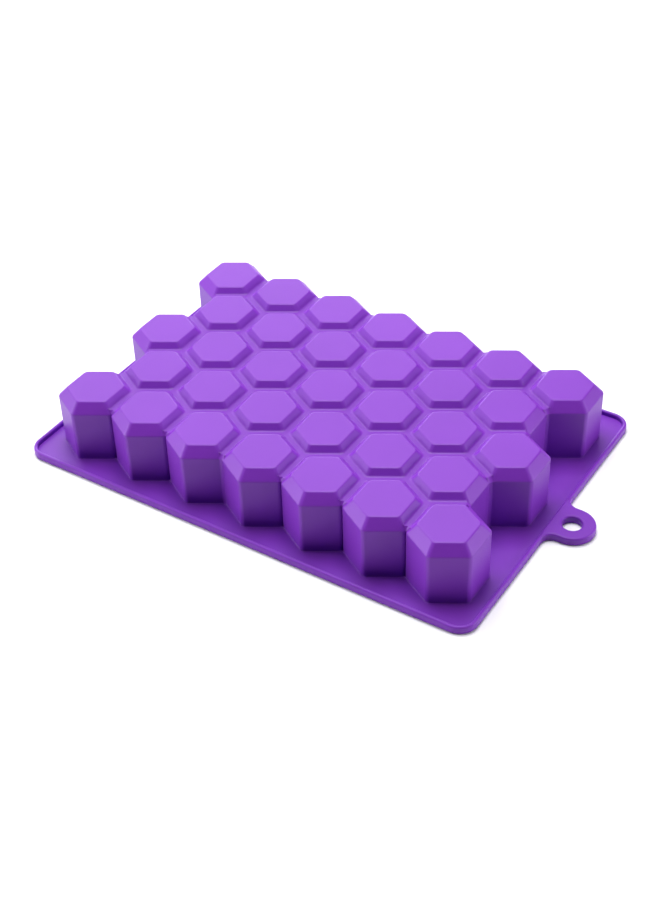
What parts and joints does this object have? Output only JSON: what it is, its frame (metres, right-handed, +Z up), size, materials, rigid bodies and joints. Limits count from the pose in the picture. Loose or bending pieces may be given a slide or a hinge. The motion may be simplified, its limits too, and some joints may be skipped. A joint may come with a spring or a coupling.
{
  "type": "silicone soap mould",
  "caption": "Flexible rectangular silicone mould with a honeycomb of hexagonal cups, a flat deck with an upstanding lip, and a tab with a hanging hole.",
  "frame": {"origin": "centre of the bounding box at the mouth plane, which the mould rests on", "axes": "+Z up towards the closed cup ends, +X along the long side towards the hanging tab, +Y across the mould"},
  "size_m": [0.2036, 0.1328, 0.0256],
  "materials": {
    "violet_silicone": "satin"
  },
  "bodies": {
    "root": {"deck": "violet_silicone", "rim_lip": "violet_silicone", "hanging_tab": "violet_silicone", "groove_web": "violet_silicone", "cup_r1_c1": "violet_silicone", "cup_r1_c2": "violet_silicone", "cup_r1_c3": "violet_silicone", "cup_r1_c4": "violet_silicone", "cup_r1_c5": "violet_silicone", "cup_r1_c6": "violet_silicone", "cup_r1_c7": "violet_silicone", "cup_r2_c1": "violet_silicone", "cup_r2_c2": "violet_silicone", "cup_r2_c3": "violet_silicone", "cup_r2_c4": "violet_silicone", "cup_r2_c5": "violet_silicone", "cup_r2_c6": "violet_silicone", "cup_r3_c1": "violet_silicone", "cup_r3_c2": "violet_silicone", "cup_r3_c3": "violet_silicone", "cup_r3_c4": "violet_silicone", "cup_r3_c5": "violet_silicone", "cup_r3_c6": "violet_silicone", "cup_r3_c7": "violet_silicone", "cup_r4_c1": "violet_silicone", "cup_r4_c2": "violet_silicone", "cup_r4_c3": "violet_silicone", "cup_r4_c4": "violet_silicone", "cup_r4_c5": "violet_silicone", "cup_r4_c6": "violet_silicone", "cup_r5_c1": "violet_silicone", "cup_r5_c2": "violet_silicone", "cup_r5_c3": "violet_silicone", "cup_r5_c4": "violet_silicone", "cup_r5_c5": "violet_silicone", "cup_r5_c6": "violet_silicone", "cup_r5_c7": "violet_silicone"}
  },
  "joints": []
}
